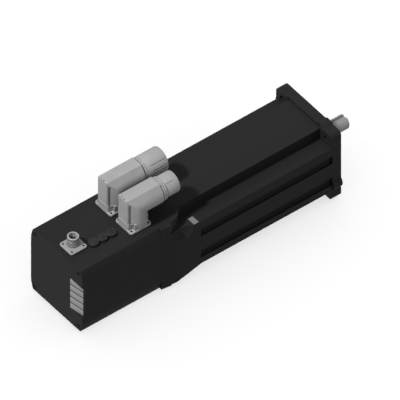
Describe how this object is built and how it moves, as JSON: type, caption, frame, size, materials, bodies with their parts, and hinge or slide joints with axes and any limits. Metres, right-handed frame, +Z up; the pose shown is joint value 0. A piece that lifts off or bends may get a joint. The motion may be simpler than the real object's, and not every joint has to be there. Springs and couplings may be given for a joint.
{
  "type": "integrated servo motor",
  "caption": "Square flanged servo motor with a keyed shaft, a built-in drive box with status bars, angled round plug connectors, a small round socket and capped ports.",
  "frame": {"origin": "centre of the flange's mounting face, on the shaft axis", "axes": "+X out along the shaft, +Z up through the connectors, +Y to the left seen from behind the motor"},
  "size_m": [0.3639, 0.0946, 0.1318],
  "materials": {
    "black_cast": "satin black powder coat on die cast aluminium",
    "black_body": "satin black coat on an extruded body",
    "black_box": "satin black powder coat",
    "window_plastic": "dark smooth window",
    "light_bar": "milky light bars",
    "white_mark": "plain pale patch",
    "shaft_steel": "ground steel",
    "lamination": "stacked electrical steel",
    "magnet": "nickel plated magnet",
    "copper": "enamelled copper wire",
    "steel": "bearing steel",
    "cage_steel": "pressed cage",
    "seal_rubber": "black rubber",
    "aluminium_part": "machined",
    "disc_glass": "coded disc",
    "board": "green board",
    "capacitor_can": "sleeved can",
    "connector_metal": "matt nickel plated die cast",
    "ring_metal": "matt nickel plated turned ring",
    "insert_plastic": "glass filled insert",
    "contact_metal": "gilded contact",
    "screw_steel": "zinc plated screw",
    "dark_screw": "blackened screw",
    "plug_plastic": "black cap"
  },
  "bodies": {
    "frame": {"front_flange": "black_cast", "flange_screws": "screw_steel", "motor_housing": "black_body", "rear_adapter": "black_cast", "adapter_screws": "screw_steel", "marker_patch": "white_mark", "electronics_housing": "black_box", "rear_cover": "black_box", "cover_screws": "dark_screw", "status_window": "window_plastic", "status_bars": "light_bar", "stator_core": "lamination", "stator_windings": "copper", "front_bearing_outer_ring": "steel", "rear_bearing_outer_ring": "steel", "shaft_seal": "seal_rubber", "preload_spring": "screw_steel", "encoder_read_board": "board", "encoder_standoffs": "aluminium_part", "heat_spreader": "aluminium_part", "power_board": "board", "control_board": "board", "board_pillars": "aluminium_part", "capacitors": "capacitor_can", "power_connector_body": "connector_metal", "signal_connector_body": "connector_metal", "power_contact_insert": "insert_plastic", "power_contact_pins": "contact_metal", "power_connector_gasket": "seal_rubber", "power_connector_screws": "screw_steel", "signal_contact_insert": "insert_plastic", "signal_contact_pins": "contact_metal", "signal_connector_gasket": "seal_rubber", "signal_connector_screws": "screw_steel", "round_socket_body": "connector_metal", "round_socket_gasket": "seal_rubber", "round_socket_screws": "screw_steel", "round_socket_insert": "insert_plastic", "round_socket_pins": "contact_metal", "port_plugs": "plug_plastic", "port_plug_seals": "seal_rubber"},
    "rotor": {"shaft": "shaft_steel", "rotor_core": "lamination", "rotor_magnets": "magnet", "front_bearing_inner_ring": "steel", "rear_bearing_inner_ring": "steel", "encoder_hub": "aluminium_part", "encoder_disc": "disc_glass"},
    "front_cage": {"front_bearing_cage": "cage_steel", "front_bearing_balls": "steel"},
    "rear_cage": {"rear_bearing_cage": "cage_steel", "rear_bearing_balls": "steel"},
    "power_ring": {"power_locking_ring": "ring_metal"},
    "signal_ring": {"signal_locking_ring": "ring_metal"}
  },
  "joints": [
    {"name": "shaft_spin", "type": "hinge", "parent": "frame", "child": "rotor", "pos_m": [0, 0, 0], "axis": [1, 0, 0], "continuous": true},
    {"name": "front_cage_spin", "type": "hinge", "parent": "frame", "child": "front_cage", "pos_m": [-0.013, 0, 0], "axis": [1, 0, 0], "continuous": true},
    {"name": "rear_cage_spin", "type": "hinge", "parent": "frame", "child": "rear_cage", "pos_m": [-0.1797, 0, 0], "axis": [1, 0, 0], "continuous": true},
    {"name": "power_ring_turn", "type": "hinge", "parent": "frame", "child": "power_ring", "pos_m": [-0.1926, 0.01645, 0.0704], "axis": [1, 0, 0], "range_deg": [0, 90]},
    {"name": "signal_ring_turn", "type": "hinge", "parent": "frame", "child": "signal_ring", "pos_m": [-0.1945, -0.01645, 0.0704], "axis": [1, 0, 0], "range_deg": [0, 90]}
  ],
  "couplings": [
    {"joint": "front_cage_spin", "follows": "shaft_spin", "ratio": 0.39},
    {"joint": "rear_cage_spin", "follows": "shaft_spin", "ratio": 0.38}
  ]
}
